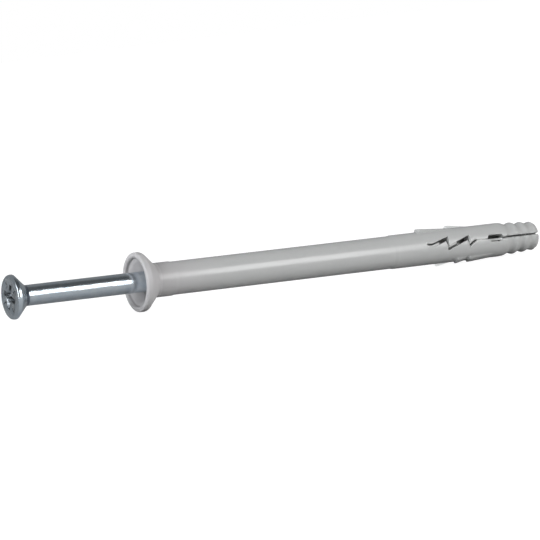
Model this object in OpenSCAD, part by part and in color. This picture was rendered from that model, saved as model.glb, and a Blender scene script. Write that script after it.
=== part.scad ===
// Hammer fixing plug: a split plastic sleeve with its nail screw part driven.
// Millimetres. X runs along the sleeve towards its tip, Z is up.
// The origin is the centre of the collar's front face.

/* [Sleeve] */
// Overall length of the sleeve, collar face to tip
sleeve_l = 79.35; // [76:0.05:84]
// Outer diameter of the plain tube
tube_d = 5.8; // [5.6:0.05:6]
// Outer diameter of the neck and of the expansion zone
zone_d = 6; // [5.9:0.05:6.2]
// Length of the neck behind the collar, measured from the collar face
neck_end = 6.5; // [5.5:0.1:8]
// Length of the expansion zone
zone_l = 22; // [21:0.1:26]
// Length of the ribbed tip
ribbed_l = 7.15; // [6.8:0.05:8]
// Length of the small step between the tube and the thicker parts
step_l = 0.6; // [0.55:0.05:1]

/* [Collar] */
// Outer diameter of the collar
collar_d = 10.35; // [10.2:0.05:10.6]
// Width of the rim of the collar, from the front to where its cone begins
rim_l = 1.2; // [1:0.05:1.4]
// Rounding of the rim at the front
rim_round = 0.4; // [0.2:0.05:0.5]
// Rounding of the rim where its cone begins
rim_back_round = 0.7; // [0.2:0.05:1]
// Width of the lip around the cup, rounding included
lip_w = 0.95; // [0.85:0.05:1.1]
// Rounding of the lip on its inner side
lip_round = 0.4; // [0.15:0.05:0.45]
// Depth of the small step just inside the lip
cup_step = 0.75; // [0.6:0.05:0.9]
// Width of the small step just inside the lip
cup_ledge = 0.2; // [0.1:0.05:0.25]
// Depth at which the cup's cone gives way to the lead-in
cup_l = 2.6; // [2.4:0.05:2.7]
// Depth at which the lead-in reaches the bore
lead_end = 4.8; // [4:0.1:6]

/* [Bore] */
// Diameter of the bore for the nail
bore_d = 3.75; // [3.7:0.05:3.9]
// Distance by which the bore narrows on past the nail's point
funnel_past = 0.5; // [0:0.1:1]
// Diameter of the narrow bore through the tip
tip_bore_d = 2.2; // [1.6:0.1:2.4]

/* [Slit] */
// Length of the slit from its start to the tip
slit_l = 23.35; // [23:0.05:24]
// Length of the zigzag part of the slit
zigzag_l = 10.25; // [9.5:0.05:10.8]
// Height of the tallest tooth of the zigzag
zigzag_h = 1.28; // [1:0.02:1.4]
// Length of the hairline between the zigzag and the window
hairline_l = 2; // [1.6:0.1:2.4]
// Width of the hairline
hairline_w = 0.14; // [0.08:0.01:0.2]
// Length of the window
window_l = 3.3; // [2.8:0.05:3.4]
// Height of half the window
window_h = 0.85; // [0.6:0.01:1]
// Width of the straight slit through the tip
tip_slit_w = 0.33; // [0.2:0.01:0.45]
// Length over which the straight slit widens towards its open end
mouth_l = 0.3; // [0.2:0.1:1]
// Width of the slit at its open end
mouth_w = 0.7; // [0.5:0.01:1.1]
// Turn of the slit about the sleeve, from the side towards Z
slit_turn = 10; // [0:1:20]

/* [Films in the slit] */
// Depth of a torn film below the outside of the sleeve
film_set = 0.55; // [0.3:0.05:0.6]
// Thickness of a film in the wall
film_t = 0.5; // [0.3:0.05:0.55]
// Length of the thin web across the hairline
web_l = 0.35; // [0.2:0.05:0.5]
// Length of the web across the end of the far side's window
end_web_l = 1.2; // [0.6:0.1:1.6]
// Thickness of the bar along the window
bar_t = 0.35; // [0.15:0.01:0.4]
// Height of the bar's top under the middle of the window
bar_drop = 0.03; // [0:0.01:0.2]

/* [Wings] */
// Radius to the crest of the upper wing on the near side
wing_r = 3.5; // [3.3:0.05:3.8]
// Radius to the crest of the two thin wings
thin_wing_r = 3.6; // [3.3:0.05:3.8]
// Radius to the crest of the two low wings
low_wing_r = 3.33; // [3.2:0.01:3.6]
// Depth to which a wing is rooted in the wall
wing_root = 0.5; // [0.3:0.05:0.7]
// Length of the steep front edge of a wing
wing_rise = 0.2; // [0.1:0.05:0.4]

/* [Nail] */
// Overall length of the nail screw
nail_l = 80; // [79:0.1:86]
// Diameter of the plain shank
shank_d = 3.6; // [3.5:0.02:3.66]
// Distance from the collar face out to the top of the head
head_out = 23.57; // [23.4:0.01:25]
// Diameter of the head
head_d = 7.7; // [7.4:0.02:7.8]
// Height of the straight rim of the head
head_land = 0.3; // [0.2:0.05:0.6]
// Rounding of the head's upper edge
head_round = 0.4; // [0.1:0.05:0.45]
// Radius at which the head's cone gives way to the fillet
fillet_r = 2.05; // [2:0.05:2.1]
// Length of the fillet below the head
fillet_l = 0.5; // [0.4:0.1:0.8]
// Length of the threaded part behind the point
thread_l = 38; // [30:1:42]
// Distance from one thread ridge to the next
thread_pitch = 1.25; // [1:0.05:1.6]
// Depth of the thread
thread_depth = 0.3; // [0.2:0.02:0.35]
// Length of the point
point_l = 4; // [3.8:0.1:5]
// Diameter of the blunt end of the point
point_d = 0.4; // [0.2:0.05:0.6]

/* [Drive recess] */
// Span of the cross recess over two arms
recess_span = 4.5; // [4:0.05:4.8]
// Width of an arm of the cross
recess_w = 0.9; // [0.8:0.05:1.2]
// Depth of the recess
recess_deep = 2.2; // [1.6:0.1:2.3]
// Slope of the outer end of an arm, taken off each end over the depth
recess_taper = 1; // [0.8:0.05:1.1]
// Span of the square heart of the recess
heart_w = 1.9; // [1.7:0.05:2.2]
// Turn of the recess about the nail
recess_turn = 22; // [-45:1:45]
// Width of the four short marks between the arms
mark_w = 0.22; // [0.15:0.01:0.3]
// Length of one mark
mark_l = 1; // [0.8:0.05:1.2]
// Radius at which a mark starts
mark_in = 1.75; // [1.6:0.05:1.9]
// Depth of a mark
mark_deep = 0.12; // [0.08:0.01:0.2]

/* [Hidden] */
// Facets of a full round
$fn = 96;
// Overrun of every cut beyond what it cuts
over = 0.05;
// Radii
tube_r = tube_d / 2;
zone_r = zone_d / 2;
collar_r = collar_d / 2;
bore_r = bore_d / 2;
tip_bore_r = tip_bore_d / 2;
lip_in = collar_r - lip_w;
shank_r = shank_d / 2;
head_r = head_d / 2;
// Places along the sleeve, from the tip back
zone_end = sleeve_l - ribbed_l;
zone_start = zone_end - zone_l;
slit_start = sleeve_l - slit_l;
hairline_start = slit_start + zigzag_l;
window_start = hairline_start + hairline_l;
mouth_start = sleeve_l - mouth_l;
// End of the outer cone of the collar
cone_end = rim_l + collar_r - zone_r;
// Radius of the cup where its cone ends
cup_in = lip_in - cup_ledge + cup_step - cup_l;
// Places and heights of the rings of the tip, as shares
ring_at_shares = [0, 0.196, 0.329, 0.49, 0.616, 0.776, 0.895, 0.97];
ring_r_shares = [0.985, 0.857, 0.943, 0.8, 0.897, 0.787, 0.847, 0.75];
// Radius of the flat end of the tip
tip_end_r = zone_r * 0.56;
// Points on each curve between a ring and a groove
ring_steps = 5;
// Zigzag edges of the upper and the lower leg, as shares
upper_at_shares = [0, 0.123, 0.444, 0.439, 0.864, 0.867, 0.935, 1];
upper_h_shares = [0.4, 0.26, 1, -0.27, 0.89, -0.13, 0.1, 0.17];
lower_at_shares = [1, 0.935, 0.845, 0.804, 0.416, 0.383, 0.149, 0.015];
lower_h_shares = [-0.02, -0.37, -0.8, 0.15, -0.94, 0.33, -0.3, -0.22];
// Outline of the window, as shares
window_at_shares = [0, 0.14, 0.95, 1, 0.97, 0.69, 0.3];
window_h_shares = [-0.04, 0.8, 0.66, 0.08, -0.5, -0.8, -0.76];
// Heights of the hairline where it leaves the zigzag
hairline_h = zigzag_h * (upper_h_shares[7] + lower_h_shares[0]) / 2;
// Starts and lengths of the torn films on the near side and the whole ones on the
// far side, as shares of the zigzag, and how far a torn one is shifted from the cut
near_film_shares = [[0, 0.27], [0.44, 0.17], [0.86, 0.12]];
near_film_h_shares = [-0.26, 0.3, 0.32];
far_film_shares = [[0.29, 0.14], [0.61, 0.14], [0.9, 0.08]];
// Starts and lengths of the wings as shares of the zigzag, from the slit's start
wing_at_shares = [-0.073, 0.562, 0.318, 0.605, 0.845];
wing_l_shares = [0.73, 0.5, 0.38, 0.21, 0.5];
// Near edge and width of each wing across the sleeve, as shares of its radius
wing_near_shares = [-0.36, 0.3, 0.3, -0.72, -0.72];
wing_wide_shares = [0.43, 0.13, 0.13, 0.5, 0.5];
// Radius to the crest of each wing, and whether it points up or down
wing_crests = [wing_r, thin_wing_r, thin_wing_r, low_wing_r, low_wing_r];
wing_up = [true, true, false, false, false];
// Places along the nail
nail_tip = nail_l - head_out;
point_start = nail_tip - point_l;
funnel_end = nail_tip + funnel_past;
cone_start = head_land + head_round - head_out;
fillet_start = cone_start + head_r - fillet_r;
thread_start = point_start - thread_l;
thread_count = floor(thread_l / thread_pitch);
// Depth and place of the corners of one groove of the thread, as shares
groove_shares = [[0, 0.05], [1, 0.75], [1, 0.95]];

// The sub-part to draw, or all of them

// Eased height between two values, share from nought to one
function eased(low, high, share) = low + (high - low) * (1 - cos(share * 180)) / 2;

// Points of the ribbed tip from the end of the zone to the last ring
function ring_points() = [
    for (i = [0 : len(ring_at_shares) - 2])
        for (j = [0 : ring_steps - 1])
            [eased(ring_r_shares[i], ring_r_shares[i + 1], j / ring_steps) * zone_r,
             zone_end + ribbed_l * (ring_at_shares[i]
                 + (ring_at_shares[i + 1] - ring_at_shares[i]) * j / ring_steps)]
];

// Rounded corner from the straight end of the tip to its flat face
function nose_points() = [
    for (j = [0 : ring_steps])
        let (last = len(ring_at_shares) - 1,
             from_r = ring_r_shares[last] * zone_r,
             from_s = zone_end + ribbed_l * ring_at_shares[last])
            [tip_end_r + (from_r - tip_end_r) * cos(90 * j / ring_steps),
             from_s + (sleeve_l - from_s) * sin(90 * j / ring_steps)]
];

// Rounding between the rim of the collar and its cone of 45 degrees
function rim_back_points() = [
    for (angle = [0 : 15 : 45])
        [collar_r - rim_back_round * (1 - cos(angle)),
         rim_l + rim_back_round * (sin(angle) - tan(22.5))]
];

// Turns a profile drawn as radius and distance about the X axis
module about_x() {
    rotate([0, 90, 0]) rotate_extrude() children();
}

// Section of the sleeve from the collar to the tip, bore included
module sleeve_section() {
    polygon(concat(
        [
            [lip_in, cup_step],
            [lip_in, lip_round],
            [lip_in + lip_round * (1 - cos(45)), lip_round * (1 - sin(45))],
            [lip_in + lip_round, 0],
            [collar_r - rim_round, 0],
            [collar_r - rim_round * (1 - sin(30)), rim_round * (1 - cos(30))],
            [collar_r - rim_round * (1 - sin(60)), rim_round * (1 - cos(60))],
            [collar_r, rim_round]
        ],
        rim_back_points(),
        [
            [zone_r, cone_end],
            [zone_r, neck_end],
            [tube_r, neck_end + step_l],
            [tube_r, zone_start - step_l],
            [zone_r, zone_start],
            [zone_r, zone_end - step_l]
        ],
        ring_points(),
        nose_points(),
        [
            [tip_bore_r, sleeve_l],
            [tip_bore_r, funnel_end],
            [bore_r, point_start],
            [bore_r, lead_end],
            [cup_in, cup_l],
            [lip_in - cup_ledge, cup_step]
        ]
    ));
}

// Cuts both walls: what the near side shows, the far side shows turned half round
module both_walls() {
    for (side = [0, 180])
        rotate([side - slit_turn, 0, 0]) rotate([90, 0, 0])
            linear_extrude(height = collar_d) children();
}

// Zigzag part of the slit
module zigzag() {
    polygon(concat(
        [for (i = [0 : len(upper_at_shares) - 1])
            [slit_start + zigzag_l * upper_at_shares[i], zigzag_h * upper_h_shares[i]]],
        [for (i = [0 : len(lower_at_shares) - 1])
            [slit_start + zigzag_l * lower_at_shares[i], zigzag_h * lower_h_shares[i]]]
    ));
}

// Hairline from the zigzag to the window
module hairline() {
    polygon([
        [hairline_start - over, hairline_h + hairline_w / 2],
        [window_start + over, hairline_w / 2 - over],
        [window_start + over, -hairline_w / 2 - over],
        [hairline_start - over, hairline_h - hairline_w / 2]
    ]);
}

// Long window between the two legs
module window() {
    polygon([for (i = [0 : len(window_at_shares) - 1])
        [window_start + window_l * window_at_shares[i], window_h * window_h_shares[i]]]);
}

// Straight slit through the ribbed tip, open at the end
module tip_slit() {
    polygon([
        [window_start + window_l / 2, tip_slit_w / 2],
        [mouth_start, tip_slit_w / 2],
        [sleeve_l + over, mouth_w / 2],
        [sleeve_l + over, -mouth_w / 2],
        [mouth_start, -tip_slit_w / 2],
        [window_start + window_l / 2, -tip_slit_w / 2]
    ]);
}

// Film across part of the zigzag, set back from the outside of the wall: where it is
// torn, the zigzag's own outline shifted up or down leaves a gap along one edge
module film(share, lift) {
    rotate([-slit_turn, 0, 0])
        translate([0, film_set + film_t - zone_r, 0])
            rotate([90, 0, 0]) linear_extrude(height = film_t)
                intersection() {
                    translate([0, lift]) zigzag();
                    translate([slit_start + zigzag_l * share[0], -zigzag_h])
                        square([zigzag_l * share[1], zigzag_h * 2]);
                }
}

// Thin web across the whole slit, about a place along it
module web(middle, long) {
    rotate([-slit_turn, 0, 0])
        translate([middle - long / 2, film_set - zone_r, -window_h])
            cube([long, film_t, window_h * 2]);
}

// Thin bar along the window, between its two ends
module window_bar() {
    rotate([-slit_turn, 0, 0])
        translate([window_start - over, film_set - zone_r, -bar_drop - bar_t])
            cube([window_l + over * 2, film_t, bar_t]);
}

// Wing: part of a low collar, steep at the front, with a long fall to the tip side
module wing(start, long, crest, near, wide, up) {
    intersection() {
        about_x() polygon([
            [zone_r - wing_root, start],
            [zone_r, start],
            [crest, start + wing_rise],
            [crest, start + wing_rise * 3],
            [zone_r, start + long],
            [zone_r - wing_root, start + long]
        ]);
        translate([start - over, near, up ? 0 : -collar_r])
            cube([long + over * 2, wide, collar_r]);
    }
}

// Split sleeve of grey plastic with collar, wings and ribbed tip
module sleeve() {
    color([0.62, 0.63, 0.62]) {
        difference() {
            about_x() sleeve_section();
            both_walls() zigzag();
            both_walls() hairline();
            both_walls() window();
            both_walls() tip_slit();
        }
        for (i = [0 : len(near_film_shares) - 1])
            film(near_film_shares[i], zigzag_h * near_film_h_shares[i]);
        for (share = far_film_shares)
            rotate([180, 0, 0]) film(share, 0);
        for (side = [0, 180])
            rotate([side, 0, 0]) {
                web(hairline_start + hairline_l / 2, web_l);
                window_bar();
            }
        rotate([180, 0, 0]) web(window_start + window_l, end_web_l);
        for (i = [0 : len(wing_up) - 1])
            wing(slit_start + zigzag_l * wing_at_shares[i], zigzag_l * wing_l_shares[i],
                wing_crests[i], zone_r * wing_near_shares[i], zone_r * wing_wide_shares[i],
                wing_up[i]);
    }
}

// Points of the ringed thread from its first ridge to the point
function thread_points() = [
    for (i = [0 : thread_count - 1])
        for (share = groove_shares)
            [shank_r - thread_depth * share[0], thread_start + (i + share[1]) * thread_pitch]
];

// One arm pair of the cross recess, tapered at both ends
module recess_arms() {
    rotate([90, 0, 0]) linear_extrude(height = recess_w, center = true)
        polygon([
            [-head_out - over, -recess_span / 2],
            [-head_out - over, recess_span / 2],
            [-head_out + recess_deep, recess_span / 2 - recess_taper],
            [-head_out + recess_deep, -recess_span / 2 + recess_taper]
        ]);
}

// Square heart of the recess
module recess_heart() {
    translate([-head_out - over, -heart_w / 2, -heart_w / 2])
        cube([recess_deep + over, heart_w, heart_w]);
}

// One short mark between two arms
module recess_mark() {
    translate([-head_out - over, -mark_w / 2, mark_in])
        cube([mark_deep + over, mark_w, mark_l]);
}

// Nail screw of plated steel, threaded behind its point
module nail_screw() {
    color([0.66, 0.68, 0.7])
        difference() {
            about_x() polygon(concat(
                [
                    [0, -head_out],
                    [head_r - head_round, -head_out],
                    [head_r - head_round * (1 - sin(30)), head_round * (1 - cos(30)) - head_out],
                    [head_r - head_round * (1 - sin(60)), head_round * (1 - cos(60)) - head_out],
                    [head_r, head_round - head_out],
                    [head_r, cone_start],
                    [fillet_r, fillet_start],
                    [shank_r + (fillet_r - shank_r) / 4, fillet_start + fillet_l / 2],
                    [shank_r, fillet_start + fillet_l],
                    [shank_r, thread_start]
                ],
                thread_points(),
                [
                    [shank_r, point_start],
                    [point_d / 2, nail_tip],
                    [0, nail_tip]
                ]
            ));
            rotate([recess_turn, 0, 0]) recess_arms();
            rotate([recess_turn + 90, 0, 0]) recess_arms();
            rotate([recess_turn + 45, 0, 0]) recess_heart();
            for (turn = [45, 135, 225, 315])
                rotate([recess_turn + turn, 0, 0]) recess_mark();
        }
}

sleeve();
nail_screw();
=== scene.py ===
from math import radians

import bmesh
import bpy
import numpy as np
from mathutils import Matrix, Quaternion, Vector


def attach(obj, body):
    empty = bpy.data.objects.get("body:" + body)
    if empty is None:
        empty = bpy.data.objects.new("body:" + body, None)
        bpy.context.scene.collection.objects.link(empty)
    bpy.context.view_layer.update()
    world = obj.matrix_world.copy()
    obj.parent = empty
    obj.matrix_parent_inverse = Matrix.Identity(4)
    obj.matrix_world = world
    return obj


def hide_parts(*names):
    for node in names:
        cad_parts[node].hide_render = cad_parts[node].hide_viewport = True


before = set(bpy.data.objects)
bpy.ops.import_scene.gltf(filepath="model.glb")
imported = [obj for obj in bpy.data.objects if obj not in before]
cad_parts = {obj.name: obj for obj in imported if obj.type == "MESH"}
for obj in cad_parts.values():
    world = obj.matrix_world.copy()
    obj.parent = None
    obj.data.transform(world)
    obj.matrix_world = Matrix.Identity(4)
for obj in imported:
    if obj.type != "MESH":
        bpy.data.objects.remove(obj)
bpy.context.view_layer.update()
scene = bpy.context.scene
scene.view_settings.view_transform = "Standard"

# Camera. The place, the long lens and the roll were found by fitting the rims of
# the head and the collar and the straight edges of the sleeve to the photograph.
camera = bpy.data.objects.new("camera", bpy.data.cameras.new("camera"))
scene.collection.objects.link(camera)
scene.camera = camera
camera.data.lens = 300
camera.data.clip_start = 0.01
camera.data.clip_end = 20
camera.location = (-0.324857, -0.701208, 0.036153)
camera_target = Vector((0.026064, 0, -0.000596))
camera_way = (camera_target - camera.location).to_track_quat("-Z", "Y")
camera_roll = Quaternion((0, 0, 1), radians(-5.44))
camera.rotation_mode = "QUATERNION"
camera.rotation_quaternion = camera_way @ camera_roll


# White sheet. The plug lies on it with the rim of its collar and its lower wings,
# so the sheet is tilted by about a degree and a half under the level plug. It is
# plain white to the camera and keeps a faint shadow close to the plug.
def feed(tree, socket, value):
    """Links a socket to another one, or sets it where the value is a number or a colour."""
    if isinstance(value, bpy.types.NodeSocket):
        tree.links.new(value, socket)
    else:
        socket.default_value = value


def worked(tree, operation, *values):
    """Puts numbers or sockets through one Math node."""
    step = tree.nodes.new("ShaderNodeMath")
    step.operation = operation
    for socket, value in zip(step.inputs, values):
        feed(tree, socket, value)
    return step.outputs[0]


def length_of(tree, vector):
    """Gives the length of a vector: the root of its squared parts."""
    length = tree.nodes.new("ShaderNodeVectorMath")
    length.operation = "LENGTH"
    tree.links.new(vector, length.inputs[0])
    return length.outputs["Value"]


def slope(tree, value, start, end, first=0, last=1):
    """Gives first up to start, last from end on, and a straight line in between.

    The line is first + (last - first) (value - start) / (end - start).
    """
    line = tree.nodes.new("ShaderNodeMapRange")
    line.inputs["From Min"].default_value = start
    line.inputs["From Max"].default_value = end
    line.inputs["To Min"].default_value = first
    line.inputs["To Max"].default_value = last
    tree.links.new(value, line.inputs["Value"])
    return line.outputs["Result"]


def mixed(tree, share, first, second):
    """Mixes two colours: first (1 - share) + second share."""
    mix = tree.nodes.new("ShaderNodeMix")
    mix.data_type = "RGBA"
    feed(tree, mix.inputs["Factor"], share)
    feed(tree, mix.inputs["A"], first)
    feed(tree, mix.inputs["B"], second)
    return mix.outputs["Result"]


def seen_white(tree):
    """Gives 1 to rays from the camera or through something clear, and 0 to all others."""
    ray = tree.nodes.new("ShaderNodeLightPath")
    return worked(
        tree, "MAXIMUM", ray.outputs["Is Camera Ray"], ray.outputs["Is Transmission Ray"]
    )


collar_low = Vector((0.0008, 0, -0.00518))
wing_low = Vector((0.0596, 0, -0.0035))
sheet_half = 6
sheet_mesh = bpy.data.meshes.new("white_sheet")
sheet_mesh.from_pydata(
    [(-sheet_half, -sheet_half, 0), (sheet_half, -sheet_half, 0),
     (sheet_half, sheet_half, 0), (-sheet_half, sheet_half, 0)],
    [], [(0, 1, 2, 3)],
)
sheet = bpy.data.objects.new("white_sheet", sheet_mesh)
scene.collection.objects.link(sheet)
sheet.location = collar_low
sheet.rotation_mode = "QUATERNION"
sheet.rotation_quaternion = Vector((1, 0, 0)).rotation_difference(wing_low - collar_low)

paper = bpy.data.materials.new("white_paper")
paper.use_nodes = True
sheet_mesh.materials.append(paper)
tree = paper.node_tree
tree.nodes.clear()
seen = seen_white(tree)
place = tree.nodes.new("ShaderNodeTexCoord").outputs["Object"]
# To the camera the sheet glows white, a little less near the plug, where the lamps
# add the rest and the shadow stays. Distances are from the foot of the collar.
shadow_end = 0.12
white_start = 0.4
near_glow = 0.9
full_glow = 1.05
glow_level = slope(
    tree, length_of(tree, place), shadow_end, white_start, near_glow, full_glow
)
glow = tree.nodes.new("ShaderNodeEmission")
tree.links.new(worked(tree, "MULTIPLY", seen, glow_level), glow.inputs["Strength"])
# To light that bounces off it the sheet is grey, and darker under and behind the plug: a
# painted shadow.
front_y = -0.008
under_y = -0.001
front_tone = 0.6
painted_shadow_tone = 0.36
seen_tone = (0.22, 0.22, 0.22, 1)
sheet_place = tree.nodes.new("ShaderNodeSeparateXYZ")
tree.links.new(place, sheet_place.inputs[0])
bounce_tone_with_painted_shadow = slope(
    tree, sheet_place.outputs["Y"], front_y, under_y, front_tone, painted_shadow_tone
)
dull = tree.nodes.new("ShaderNodeBsdfDiffuse")
tree.links.new(mixed(tree, seen, bounce_tone_with_painted_shadow, seen_tone), dull.inputs["Color"])
both = tree.nodes.new("ShaderNodeAddShader")
tree.links.new(dull.outputs[0], both.inputs[0])
tree.links.new(glow.outputs[0], both.inputs[1])
out = tree.nodes.new("ShaderNodeOutputMaterial")
tree.links.new(both.outputs[0], out.inputs["Surface"])


# Studio around the plug. White to the camera and through clear things. The steel
# mirrors a dim room that is darkest overhead, as it does in the photograph.
def toward(tree, way, direction):
    """Gives the dot product of a ray's way with a direction, about 1 straight along it."""
    dot = tree.nodes.new("ShaderNodeVectorMath")
    dot.operation = "DOT_PRODUCT"
    dot.inputs[1].default_value = direction
    tree.links.new(way, dot.inputs[0])
    return dot.outputs["Value"]


studio = bpy.data.worlds.new("studio")
scene.world = studio
studio.use_nodes = True
tree = studio.node_tree
tree.nodes.clear()
way = tree.nodes.new("ShaderNodeTexCoord").outputs["Generated"]
# The walls are dim, and the ceiling, tilted a little to the front, is dimmer.
ceiling = (0, -0.44, 0.9)
ceiling_edge = 0.6
ceiling_middle = 0.9
wall_level = 0.27
ceiling_level = 0.09
overhead = slope(
    tree, toward(tree, way, ceiling), ceiling_edge, ceiling_middle, wall_level, ceiling_level
)
# The room is dark past the tip, where the fillet behind the nail's head looks.
past_tip = (0.95, -0.3, 0)
dark_edge = 0.88
dark_middle = 0.96
dark_share = 0.3
tip_side = slope(tree, toward(tree, way, past_tip), dark_edge, dark_middle, 1, dark_share)
room = tree.nodes.new("ShaderNodeBackground")
room.inputs["Color"].default_value = (0.95, 0.98, 1, 1)
tree.links.new(worked(tree, "MULTIPLY", overhead, tip_side), room.inputs["Strength"])
white = tree.nodes.new("ShaderNodeBackground")
white.inputs["Color"].default_value = (1, 1, 1, 1)
pick = tree.nodes.new("ShaderNodeMixShader")
tree.links.new(seen_white(tree), pick.inputs["Fac"])
tree.links.new(room.outputs[0], pick.inputs[1])
tree.links.new(white.outputs[0], pick.inputs[2])
out = tree.nodes.new("ShaderNodeOutputWorld")
tree.links.new(pick.outputs[0], out.inputs["Surface"])

# Lamps. The soft box in front draws the bright band along the sleeve and the nail.
# The fill on the head's side lights the cup, and the strip beside it the edge of
# the head. Three more lift the tip's side, the top and the back, unmirrored.
plug_middle = Vector((0.03, 0, 0))
plain_white = (1, 1, 1)
cool_white = (0.95, 0.97, 1)
for name, direction, distance, wide, high, watts, tint, mirrored in (
    ("soft_box", (0.42, -0.88, 0.21), 1.0, 1.1, 0.72, 9.5, plain_white, True),
    ("side_fill", (-0.97, -0.15, 0.2), 1.0, 0.8, 0.8, 11.5, cool_white, False),
    ("side_strip", (-0.98, -0.1, 0.17), 1.0, 0.42, 0.8, 4.0, cool_white, True),
    ("tip_fill", (0.93, -0.35, 0.05), 1.0, 0.6, 0.6, 3.0, plain_white, False),
    ("top_lamp", (-0.45, -0.5, 0.8), 1.2, 0.8, 0.8, 1.2, plain_white, False),
    ("back_lamp", (0.15, 0.93, 0.3), 1.2, 0.8, 0.8, 6.5, plain_white, False),
):
    lamp = bpy.data.objects.new(name, bpy.data.lights.new(name, "AREA"))
    scene.collection.objects.link(lamp)
    lamp.data.shape = "RECTANGLE"
    lamp.data.size = wide
    lamp.data.size_y = high
    lamp.data.energy = watts
    lamp.data.color = tint
    lamp.location = plug_middle + Vector(direction).normalized() * distance
    lamp.rotation_mode = "QUATERNION"
    lamp.rotation_quaternion = (-Vector(direction)).to_track_quat("-Z", "Y")
    lamp.visible_glossy = mirrored


# Sleeve. One injection moulding of grey nylon: collar, neck, tube, slit expansion
# zone with its wings, and ribbed tip. The skin is matt on the collar, glossiest in
# the middle of the tube and duller at the tip, and the thin wings are painted paler: painted
# light for light that shines through them.
def round_off(mesh, barrels):
    """Points the corners of a barrel's facets straight out from the X axis.

    A facet belongs to a barrel of radius R when its normal is square to X and points
    away from the axis, and all its corners lie between 0.985 R and 1.005 R from it.
    The corner normal there is (0, y, z) over its length, and the others stay.
    """
    most_tilt = 0.02
    least_outward = 0.99
    nearest = 0.985
    farthest = 1.005
    least_reach = 1e-6
    count = len(mesh.loops)
    corner_face = np.repeat(
        np.arange(len(mesh.polygons)), [len(face.vertices) for face in mesh.polygons]
    )
    points = np.empty(len(mesh.vertices) * 3)
    mesh.vertices.foreach_get("co", points)
    corner_point = np.empty(count, dtype=int)
    mesh.loops.foreach_get("vertex_index", corner_point)
    spot = points.reshape(-1, 3)[corner_point]
    face_way = np.empty(len(mesh.polygons) * 3)
    mesh.polygons.foreach_get("normal", face_way)
    face_way = face_way.reshape(-1, 3)[corner_face]
    normal = np.empty(count * 3)
    mesh.corner_normals.foreach_get("vector", normal)
    normal = normal.reshape(-1, 3)
    out = spot * (0, 1, 1)
    reach = np.linalg.norm(out, axis=1)
    out /= np.maximum(reach, least_reach)[:, None]
    level = np.abs(face_way[:, 0]) < most_tilt
    square = level & ((face_way * out).sum(axis=1) > least_outward)
    for barrel in barrels:
        close = square & (reach > nearest * barrel) & (reach < farthest * barrel)
        misses = np.bincount(corner_face, weights=~close)
        whole = misses[corner_face] == 0
        normal[whole] = out[whole]
    mesh.normals_split_custom_set([tuple(way) for way in normal])


def add_web(work, low, high, turn):
    """Adds a thin closed web to a mesh: the box from low to high, turned about X."""
    low = Vector(low)
    high = Vector(high)
    lay = Matrix.Rotation(turn, 4, "X") @ Matrix.Translation((low + high) / 2)
    bmesh.ops.create_cube(work, size=1, matrix=lay @ Matrix.Diagonal((*(high - low), 1)))


def skin_of(node_name, body, sharp_angle, barrels, webs=(), web_turn=0):
    """Copies a solid, joins its doubled corners and shades it smooth up to an angle.

    Webs are boxes, given by two corners and turned about X, that close gaps inside it.
    """
    same_corner = 1e-6
    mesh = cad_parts[node_name].data.copy()
    piece = bpy.data.objects.new(node_name + "_skin", mesh)
    scene.collection.objects.link(piece)
    work = bmesh.new()
    work.from_mesh(mesh)
    bmesh.ops.remove_doubles(work, verts=work.verts, dist=same_corner)
    for low, high in webs:
        add_web(work, low, high, web_turn)
    work.to_mesh(mesh)
    work.free()
    mesh.shade_smooth()
    mesh.set_sharp_from_angle(angle=sharp_angle)
    round_off(mesh, barrels)
    mesh.materials.clear()
    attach(piece, body)
    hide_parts(node_name)
    return piece


def group_of(name, inputs, outputs):
    """Makes an empty shader group with the named sockets, given as (name, kind, value)."""
    group = bpy.data.node_groups.new(name, "ShaderNodeTree")
    for socket_name, kind, value in inputs:
        socket = group.interface.new_socket(name=socket_name, in_out="INPUT", socket_type=kind)
        socket.default_value = value
    for socket_name, kind in outputs:
        group.interface.new_socket(name=socket_name, in_out="OUTPUT", socket_type=kind)
    return group, group.nodes.new("NodeGroupInput"), group.nodes.new("NodeGroupOutput")


def placed(tree, group, values):
    """Puts a shader group into a material, with a number or a socket for each input."""
    use = tree.nodes.new("ShaderNodeGroup")
    use.node_tree = group
    for socket_name, value in values.items():
        feed(tree, use.inputs[socket_name], value)
    return use.outputs[0]


def grain_of(tree, place, waves, detail):
    """Gives a noise from 0 to 1 on the piece, with so many waves a metre along each axis."""
    stretched = tree.nodes.new("ShaderNodeMapping")
    stretched.inputs["Scale"].default_value = waves
    tree.links.new(place, stretched.inputs["Vector"])
    noise = tree.nodes.new("ShaderNodeTexNoise")
    noise.inputs["Scale"].default_value = 1
    noise.inputs["Detail"].default_value = detail
    tree.links.new(stretched.outputs[0], noise.inputs["Vector"])
    return noise.outputs["Fac"]


def course(tree, share, stops):
    """Gives a level that runs straight from stop to stop, each a share and its level."""
    ramp = tree.nodes.new("ShaderNodeValToRGB")
    marks = ramp.color_ramp.elements
    marks[0].position = stops[0][0]
    marks[1].position = stops[-1][0]
    for stop in stops[1:-1]:
        marks.new(stop[0])
    for mark, stop in zip(marks, stops):
        mark.color = (stop[1], stop[1], stop[1], 1)
    tree.links.new(share, ramp.inputs["Fac"])
    return ramp.outputs["Color"]


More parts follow.
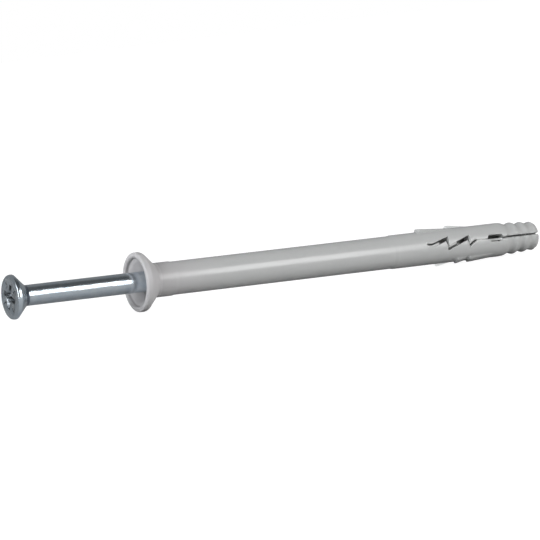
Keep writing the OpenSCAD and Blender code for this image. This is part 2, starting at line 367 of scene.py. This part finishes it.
# Hollow shade: where little open room lies within its reach, a colour is multiplied
# by Shade, below 1 for a dark hollow and above 1 for one that light seeps into.
hollow_shade, given, made = group_of(
    "hollow_shade",
    (("Colour", "NodeSocketColor", (0.5, 0.5, 0.5, 1)), ("Reach", "NodeSocketFloat", 0.001),
     ("Closed", "NodeSocketFloat", 0.3), ("Open", "NodeSocketFloat", 0.8),
     ("Shade", "NodeSocketFloat", 0.4)),
    (("Colour", "NodeSocketColor"),),
)
room_left = hollow_shade.nodes.new("ShaderNodeAmbientOcclusion")
room_left.samples = 8
room_left.only_local = True
hollow_shade.links.new(given.outputs["Reach"], room_left.inputs["Distance"])
share_left = hollow_shade.nodes.new("ShaderNodeMapRange")
hollow_shade.links.new(room_left.outputs["AO"], share_left.inputs["Value"])
hollow_shade.links.new(given.outputs["Closed"], share_left.inputs["From Min"])
hollow_shade.links.new(given.outputs["Open"], share_left.inputs["From Max"])
hollow_shade.links.new(given.outputs["Shade"], share_left.inputs["To Min"])
shaded = hollow_shade.nodes.new("ShaderNodeVectorMath")
shaded.operation = "SCALE"
hollow_shade.links.new(given.outputs["Colour"], shaded.inputs[0])
hollow_shade.links.new(share_left.outputs["Result"], shaded.inputs["Scale"])
hollow_shade.links.new(shaded.outputs[0], made.inputs["Colour"])

# Soft relief: edges are eased over a tenth of a millimetre, and a low relief lies on top.
soft_relief, given, made = group_of(
    "soft_relief",
    (("Edge", "NodeSocketFloat", 0.0001), ("Height", "NodeSocketFloat", 0.5),
     ("Depth", "NodeSocketFloat", 0.00003)),
    (("Normal", "NodeSocketVector"),),
)
eased = soft_relief.nodes.new("ShaderNodeBevel")
eased.samples = 6
soft_relief.links.new(given.outputs["Edge"], eased.inputs["Radius"])
relief = soft_relief.nodes.new("ShaderNodeBump")
relief.inputs["Strength"].default_value = 0.35
soft_relief.links.new(given.outputs["Height"], relief.inputs["Height"])
soft_relief.links.new(given.outputs["Depth"], relief.inputs["Distance"])
soft_relief.links.new(eased.outputs["Normal"], relief.inputs["Normal"])
soft_relief.links.new(relief.outputs["Normal"], made.inputs["Normal"])

tube_r = 0.0029
zone_r = 0.003
rim_r = 0.005175
edge_angle = radians(28)
# Two webs deep in the slit stop the view through it: one in the far wall at the window's
# end, one in the near wall at the tip.
slit_turn = radians(-10)
slit_webs = (
    ((0.0698, 0.0015, -0.0009), (0.0738, 0.002, 0.00015)),
    ((0.0774, -0.00125, -0.0004), (0.0792, -0.001, 0.0005)),
)
sleeve = skin_of(
    "sleeve", "sleeve", edge_angle, (tube_r, zone_r, rim_r), slit_webs, slit_turn
)
nylon = bpy.data.materials.new("satin_nylon")
nylon.use_nodes = True
sleeve.data.materials.append(nylon)
tree = nylon.node_tree
skin = tree.nodes["Principled BSDF"]
skin.inputs["Specular IOR Level"].default_value = 0.5
skin.inputs["Coat Roughness"].default_value = 0.17
place = tree.nodes.new("ShaderNodeTexCoord").outputs["Object"]
parts = tree.nodes.new("ShaderNodeSeparateXYZ")
tree.links.new(place, parts.inputs[0])
across = tree.nodes.new("ShaderNodeCombineXYZ")
tree.links.new(parts.outputs["Y"], across.inputs["Y"])
tree.links.new(parts.outputs["Z"], across.inputs["Z"])
# A wing is what stands out from the expansion zone.
zone_start = 0.05
wing_foot_r = 0.00305
wing_side_r = 0.00325
outside = slope(tree, length_of(tree, across.outputs[0]), wing_foot_r, wing_side_r)
in_zone = worked(tree, "GREATER_THAN", parts.outputs["X"], zone_start)
on_wing = worked(tree, "MULTIPLY", outside, in_zone)
# The two thinnest wings stand on the far half and are painted paler: painted light for light
# that shines through them.
far_y = 0.00085
far_side = worked(tree, "GREATER_THAN", parts.outputs["Y"], far_y)
thin_wing = worked(tree, "MULTIPLY", on_wing, far_side)
dark_nylon = (0.4, 0.402, 0.396, 1)
light_nylon = (0.424, 0.426, 0.42, 1)
mottle = grain_of(tree, place, (1300, 1300, 1300), 2)
colour = mixed(tree, mottle, dark_nylon, light_nylon)
# The collar is a trace more violet than the tube.
collar_end = 0.004
tube_start = 0.016
violet_nylon = (0.417, 0.407, 0.409, 1)
backlit_painted_nylon = (0.62, 0.63, 0.625, 1)
past_collar = slope(tree, parts.outputs["X"], collar_end, tube_start)
body_colour = mixed(tree, past_collar, violet_nylon, colour)
with_painted_backlight = mixed(tree, thin_wing, body_colour, backlit_painted_nylon)
# The lower thin wing glows with painted light, standing in for the white sheet shining through
# it.
film_z = -0.001
no_shine = (0, 0, 0, 1)
painted_sheet_glow = (0.5, 0.51, 0.505, 1)
low_side = worked(tree, "LESS_THAN", parts.outputs["Z"], film_z)
glowing_wing_mask = worked(tree, "MULTIPLY", thin_wing, low_side)
shine = mixed(tree, glowing_wing_mask, no_shine, painted_sheet_glow)
tree.links.new(shine, skin.inputs["Emission Color"])
skin.inputs["Emission Strength"].default_value = 1
# Painted light brightens the hollows of the zigzag and the window, for light that seeps
# through the walls, and painted shade darkens the tip's slit.
window_end = 0.072
tip_slit_start = 0.075
painted_light_level = 2.1
painted_shade_level = 0.3
painted_hollow_level = slope(
    tree, parts.outputs["X"], window_end, tip_slit_start, painted_light_level, painted_shade_level
)
with_painted_hollows = placed(tree, hollow_shade, {
    "Colour": with_painted_backlight, "Reach": 0.0009, "Closed": 0.3, "Open": 0.75, "Shade": painted_hollow_level,
})
tree.links.new(with_painted_hollows, skin.inputs["Base Color"])
# Gloss: matt on the collar, satin on the tube, duller towards the tip. Stops are
# shares of the sleeve's length.
sleeve_l = 0.08
length_share = slope(tree, parts.outputs["X"], 0, sleeve_l)
gloss_along = course(tree, length_share, (
    (0.035, 0.45), (0.05, 0.21), (0.07, 0.21), (0.24, 0.14), (0.55, 0.14), (0.63, 0.19),
    (0.72, 0.2),
))
streaks = grain_of(tree, place, (140, 420, 420), 2)
streak_share = 0.08
uneven = worked(tree, "MULTIPLY_ADD", streaks, streak_share, gloss_along)
tree.links.new(uneven, skin.inputs["Roughness"])
# The middle of the tube is glossier than its ends.
polish_along = course(tree, length_share, ((0.06, 0), (0.22, 0.5), (0.5, 0.5), (0.66, 0)))
tree.links.new(polish_along, skin.inputs["Coat Weight"])
ripple = placed(tree, soft_relief, {"Edge": 0.00012, "Height": mottle, "Depth": 0.000012})
tree.links.new(ripple, skin.inputs["Normal"])

# Nail screw. Cold-headed steel wire with a countersunk head and a pressed cross
# recess, zinc plated with a bluish, faintly greenish shine. Drawing marks run along
# the shank. The recess has painted shade, and the fillet under the head is painted dark.
shank_r = 0.0018
head_r = 0.00385
nail_screw = skin_of("nail_screw", "nail", edge_angle, (shank_r, head_r))
zinc = bpy.data.materials.new("zinc_plating")
zinc.use_nodes = True
nail_screw.data.materials.append(zinc)
tree = zinc.node_tree
skin = tree.nodes["Principled BSDF"]
skin.inputs["Metallic"].default_value = 1
place = tree.nodes.new("ShaderNodeTexCoord").outputs["Object"]
blue_zinc = (0.48, 0.57, 0.66, 1)
light_zinc = (0.74, 0.77, 0.78, 1)
tint = grain_of(tree, place, (800, 800, 800), 3)
colour = mixed(tree, tint, blue_zinc, light_zinc)
# The fillet under the head is painted dark: a painted reflection of the dim room past the tip.
fillet_x = -0.02097
fillet_half = 0.00038
painted_dark_zinc = (0.21, 0.24, 0.29, 1)
parts = tree.nodes.new("ShaderNodeSeparateXYZ")
tree.links.new(place, parts.inputs[0])
fillet = worked(tree, "COMPARE", parts.outputs["X"], fillet_x, fillet_half)
painted_dark_ring = mixed(tree, fillet, colour, painted_dark_zinc)
# Painted shade darkens the recess and the other hollows.
with_painted_hollows = placed(tree, hollow_shade, {
    "Colour": painted_dark_ring, "Reach": 0.0012, "Closed": 0.6, "Open": 1, "Shade": 0.1,
})
tree.links.new(with_painted_hollows, skin.inputs["Base Color"])
# Drawing marks make the shine a little brighter or duller from line to line.
brightest = 0.14
dullest = 0.26
marks = grain_of(tree, place, (500, 4200, 4200), 3)
gloss = slope(tree, marks, 0, 1, brightest, dullest)
tree.links.new(gloss, skin.inputs["Roughness"])
drawn = placed(tree, soft_relief, {"Edge": 0.0001, "Height": marks, "Depth": 0.00005})
tree.links.new(drawn, skin.inputs["Normal"])
